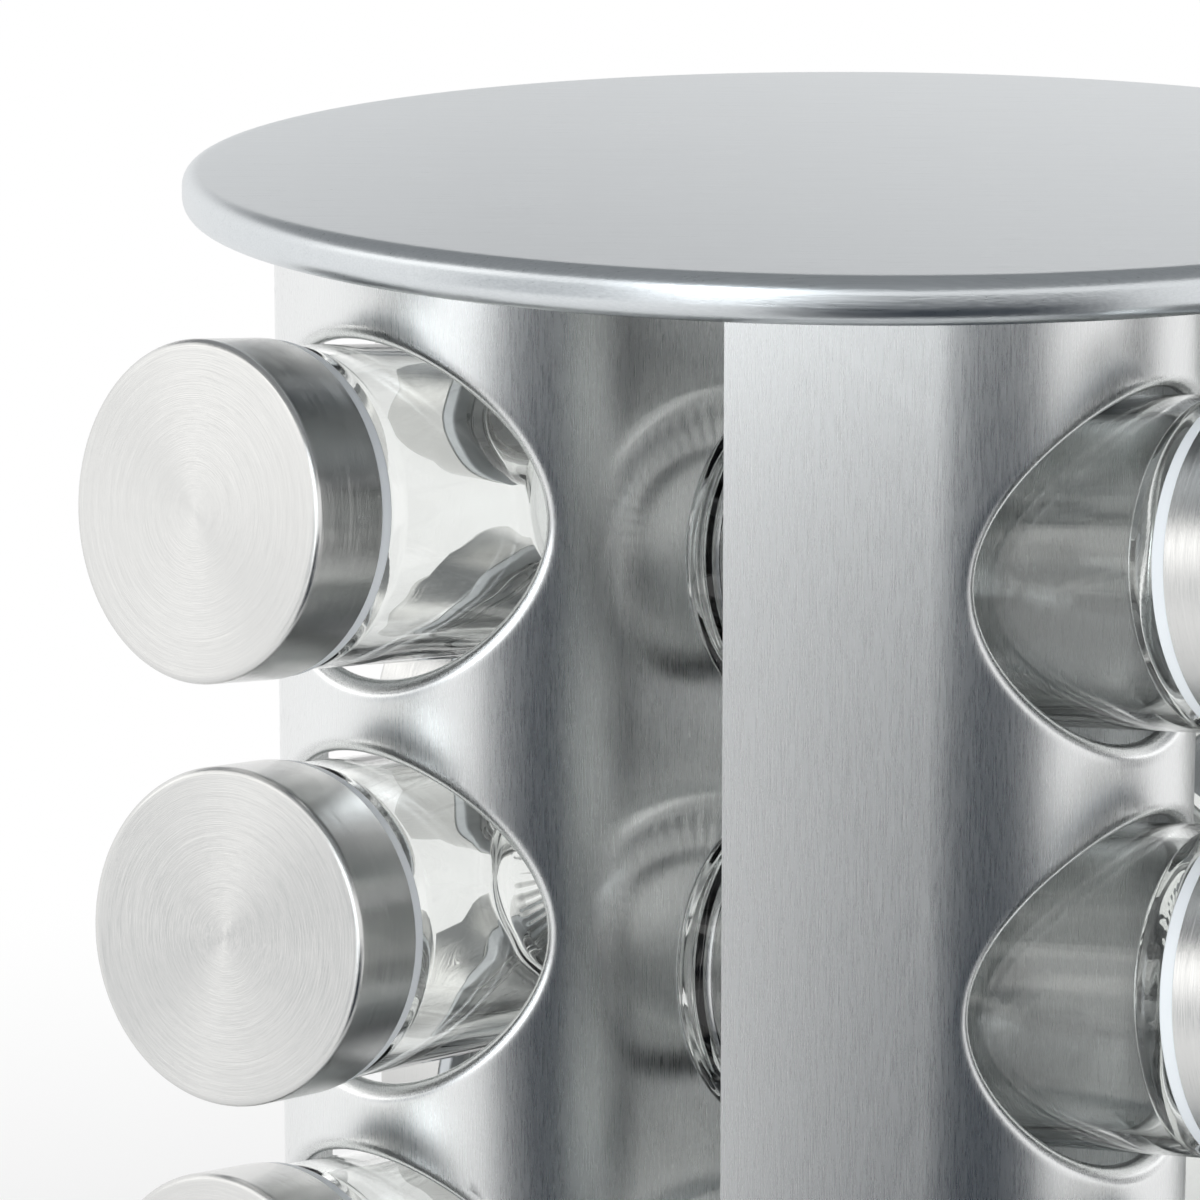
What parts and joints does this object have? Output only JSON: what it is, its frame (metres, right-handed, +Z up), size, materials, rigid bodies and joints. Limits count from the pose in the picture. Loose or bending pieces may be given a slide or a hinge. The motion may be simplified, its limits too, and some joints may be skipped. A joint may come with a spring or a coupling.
{
  "type": "spice carousel",
  "caption": "Turning spice carousel: bent brushed-steel panels between round plates hold glass jars with steel caps, lying cap outwards in round holes.",
  "frame": {"origin": "on the floor, under the turning axis", "axes": "+Z up along the turning axis; the first column of jars points along -X, the second along -Y"},
  "size_m": [0.1998, 0.1996, 0.21],
  "materials": {
    "plate_steel": "brushed in one direction",
    "panel_steel": "brushed upright",
    "cap_steel": "turned, brushed in rings",
    "rod_steel": "zinc plated",
    "ball_steel": "polished",
    "jar_glass": "clear",
    "liner_plastic": "satin white",
    "sieve_plastic": "satin white",
    "cage_plastic": "natural white",
    "foot_plastic": "fine texture",
    "rubber": "matte"
  },
  "bodies": {
    "stand": {"foot": "foot_plastic", "rubber_feet": "rubber"},
    "ball_ring": {"bearing_balls": "ball_steel", "ball_cage": "cage_plastic"},
    "carousel": {"base_plate": "plate_steel", "top_plate": "plate_steel", "panel_1": "panel_steel", "panel_2": "panel_steel", "panel_3": "panel_steel", "panel_4": "panel_steel", "tie_rod": "rod_steel", "rod_nuts": "rod_steel"},
    "jar_11": {"glass_jar_11": "jar_glass"},
    "sieve_11": {"sieve_11": "sieve_plastic"},
    "cap_11": {"cap_shell_11": "cap_steel", "cap_liner_11": "liner_plastic"},
    "jar_12": {"glass_jar_12": "jar_glass"},
    "sieve_12": {"sieve_12": "sieve_plastic"},
    "cap_12": {"cap_shell_12": "cap_steel", "cap_liner_12": "liner_plastic"},
    "jar_13": {"glass_jar_13": "jar_glass"},
    "sieve_13": {"sieve_13": "sieve_plastic"},
    "cap_13": {"cap_shell_13": "cap_steel", "cap_liner_13": "liner_plastic"},
    "jar_21": {"glass_jar_21": "jar_glass"},
    "sieve_21": {"sieve_21": "sieve_plastic"},
    "cap_21": {"cap_shell_21": "cap_steel", "cap_liner_21": "liner_plastic"},
    "jar_22": {"glass_jar_22": "jar_glass"},
    "sieve_22": {"sieve_22": "sieve_plastic"},
    "cap_22": {"cap_shell_22": "cap_steel", "cap_liner_22": "liner_plastic"},
    "jar_23": {"glass_jar_23": "jar_glass"},
    "sieve_23": {"sieve_23": "sieve_plastic"},
    "cap_23": {"cap_shell_23": "cap_steel", "cap_liner_23": "liner_plastic"},
    "jar_31": {"glass_jar_31": "jar_glass"},
    "sieve_31": {"sieve_31": "sieve_plastic"},
    "cap_31": {"cap_shell_31": "cap_steel", "cap_liner_31": "liner_plastic"},
    "jar_32": {"glass_jar_32": "jar_glass"},
    "sieve_32": {"sieve_32": "sieve_plastic"},
    "cap_32": {"cap_shell_32": "cap_steel", "cap_liner_32": "liner_plastic"},
    "jar_33": {"glass_jar_33": "jar_glass"},
    "sieve_33": {"sieve_33": "sieve_plastic"},
    "cap_33": {"cap_shell_33": "cap_steel", "cap_liner_33": "liner_plastic"},
    "jar_41": {"glass_jar_41": "jar_glass"},
    "sieve_41": {"sieve_41": "sieve_plastic"},
    "cap_41": {"cap_shell_41": "cap_steel", "cap_liner_41": "liner_plastic"},
    "jar_42": {"glass_jar_42": "jar_glass"},
    "sieve_42": {"sieve_42": "sieve_plastic"},
    "cap_42": {"cap_shell_42": "cap_steel", "cap_liner_42": "liner_plastic"},
    "jar_43": {"glass_jar_43": "jar_glass"},
    "sieve_43": {"sieve_43": "sieve_plastic"},
    "cap_43": {"cap_shell_43": "cap_steel", "cap_liner_43": "liner_plastic"}
  },
  "joints": [
    {"name": "carousel_turn", "type": "hinge", "parent": "stand", "child": "carousel", "pos_m": [0, 0, 0.015], "axis": [0, 0, 1], "continuous": true},
    {"name": "ball_ring_turn", "type": "hinge", "parent": "stand", "child": "ball_ring", "pos_m": [0, 0, 0.015], "axis": [0, 0, 1], "continuous": true},
    {"name": "jar_11_pull", "type": "slide", "parent": "carousel", "child": "jar_11", "axis": [-0.9908, 0.0589, 0.1219], "range_m": [0, 0.095]},
    {"name": "sieve_11_lift", "type": "slide", "parent": "jar_11", "child": "sieve_11", "axis": [-0.9908, 0.0589, 0.1219], "range_m": [0, 0.01]},
    {"name": "cap_11_lift", "type": "slide", "parent": "sieve_11", "child": "cap_11", "axis": [-0.9908, 0.0589, 0.1219], "range_m": [0, 0.025]},
    {"name": "jar_12_pull", "type": "slide", "parent": "carousel", "child": "jar_12", "axis": [-0.9906, -0.0623, 0.1219], "range_m": [0, 0.095]},
    {"name": "sieve_12_lift", "type": "slide", "parent": "jar_12", "child": "sieve_12", "axis": [-0.9906, -0.0623, 0.1219], "range_m": [0, 0.01]},
    {"name": "cap_12_lift", "type": "slide", "parent": "sieve_12", "child": "cap_12", "axis": [-0.9906, -0.0623, 0.1219], "range_m": [0, 0.025]},
    {"name": "jar_13_pull", "type": "slide", "parent": "carousel", "child": "jar_13", "axis": [-0.9925, 0.0087, 0.1219], "range_m": [0, 0.095]},
    {"name": "sieve_13_lift", "type": "slide", "parent": "jar_13", "child": "sieve_13", "axis": [-0.9925, 0.0087, 0.1219], "range_m": [0, 0.01]},
    {"name": "cap_13_lift", "type": "slide", "parent": "sieve_13", "child": "cap_13", "axis": [-0.9925, 0.0087, 0.1219], "range_m": [0, 0.025]},
    {"name": "jar_21_pull", "type": "slide", "parent": "carousel", "child": "jar_21", "axis": [-0.0173, -0.9924, 0.1219], "range_m": [0, 0.095]},
    {"name": "sieve_21_lift", "type": "slide", "parent": "jar_21", "child": "sieve_21", "axis": [-0.0173, -0.9924, 0.1219], "range_m": [0, 0.01]},
    {"name": "cap_21_lift", "type": "slide", "parent": "sieve_21", "child": "cap_21", "axis": [-0.0173, -0.9924, 0.1219], "range_m": [0, 0.025]},
    {"name": "jar_22_pull", "type": "slide", "parent": "carousel", "child": "jar_22", "axis": [0.0519, -0.9912, 0.1219], "range_m": [0, 0.095]},
    {"name": "sieve_22_lift", "type": "slide", "parent": "jar_22", "child": "sieve_22", "axis": [0.0519, -0.9912, 0.1219], "range_m": [0, 0.01]},
    {"name": "cap_22_lift", "type": "slide", "parent": "sieve_22", "child": "cap_22", "axis": [0.0519, -0.9912, 0.1219], "range_m": [0, 0.025]},
    {"name": "jar_23_pull", "type": "slide", "parent": "carousel", "child": "jar_23", "axis": [-0.026, -0.9922, 0.1219], "range_m": [0, 0.095]},
    {"name": "sieve_23_lift", "type": "slide", "parent": "jar_23", "child": "sieve_23", "axis": [-0.026, -0.9922, 0.1219], "range_m": [0, 0.01]},
    {"name": "cap_23_lift", "type": "slide", "parent": "sieve_23", "child": "cap_23", "axis": [-0.026, -0.9922, 0.1219], "range_m": [0, 0.025]},
    {"name": "jar_31_pull", "type": "slide", "parent": "carousel", "child": "jar_31", "axis": [0.9908, -0.0589, 0.1219], "range_m": [0, 0.095]},
    {"name": "sieve_31_lift", "type": "slide", "parent": "jar_31", "child": "sieve_31", "axis": [0.9908, -0.0589, 0.1219], "range_m": [0, 0.01]},
    {"name": "cap_31_lift", "type": "slide", "parent": "sieve_31", "child": "cap_31", "axis": [0.9908, -0.0589, 0.1219], "range_m": [0, 0.025]},
    {"name": "jar_32_pull", "type": "slide", "parent": "carousel", "child": "jar_32", "axis": [0.9906, 0.0623, 0.1219], "range_m": [0, 0.095]},
    {"name": "sieve_32_lift", "type": "slide", "parent": "jar_32", "child": "sieve_32", "axis": [0.9906, 0.0623, 0.1219], "range_m": [0, 0.01]},
    {"name": "cap_32_lift", "type": "slide", "parent": "sieve_32", "child": "cap_32", "axis": [0.9906, 0.0623, 0.1219], "range_m": [0, 0.025]},
    {"name": "jar_33_pull", "type": "slide", "parent": "carousel", "child": "jar_33", "axis": [0.9925, -0.0087, 0.1219], "range_m": [0, 0.095]},
    {"name": "sieve_33_lift", "type": "slide", "parent": "jar_33", "child": "sieve_33", "axis": [0.9925, -0.0087, 0.1219], "range_m": [0, 0.01]},
    {"name": "cap_33_lift", "type": "slide", "parent": "sieve_33", "child": "cap_33", "axis": [0.9925, -0.0087, 0.1219], "range_m": [0, 0.025]},
    {"name": "jar_41_pull", "type": "slide", "parent": "carousel", "child": "jar_41", "axis": [0.0173, 0.9924, 0.1219], "range_m": [0, 0.095]},
    {"name": "sieve_41_lift", "type": "slide", "parent": "jar_41", "child": "sieve_41", "axis": [0.0173, 0.9924, 0.1219], "range_m": [0, 0.01]},
    {"name": "cap_41_lift", "type": "slide", "parent": "sieve_41", "child": "cap_41", "axis": [0.0173, 0.9924, 0.1219], "range_m": [0, 0.025]},
    {"name": "jar_42_pull", "type": "slide", "parent": "carousel", "child": "jar_42", "axis": [-0.0519, 0.9912, 0.1219], "range_m": [0, 0.095]},
    {"name": "sieve_42_lift", "type": "slide", "parent": "jar_42", "child": "sieve_42", "axis": [-0.0519, 0.9912, 0.1219], "range_m": [0, 0.01]},
    {"name": "cap_42_lift", "type": "slide", "parent": "sieve_42", "child": "cap_42", "axis": [-0.0519, 0.9912, 0.1219], "range_m": [0, 0.025]},
    {"name": "jar_43_pull", "type": "slide", "parent": "carousel", "child": "jar_43", "axis": [0.026, 0.9922, 0.1219], "range_m": [0, 0.095]},
    {"name": "sieve_43_lift", "type": "slide", "parent": "jar_43", "child": "sieve_43", "axis": [0.026, 0.9922, 0.1219], "range_m": [0, 0.01]},
    {"name": "cap_43_lift", "type": "slide", "parent": "sieve_43", "child": "cap_43", "axis": [0.026, 0.9922, 0.1219], "range_m": [0, 0.025]}
  ],
  "couplings": [
    {"joint": "ball_ring_turn", "follows": "carousel_turn", "ratio": 0.5}
  ]
}
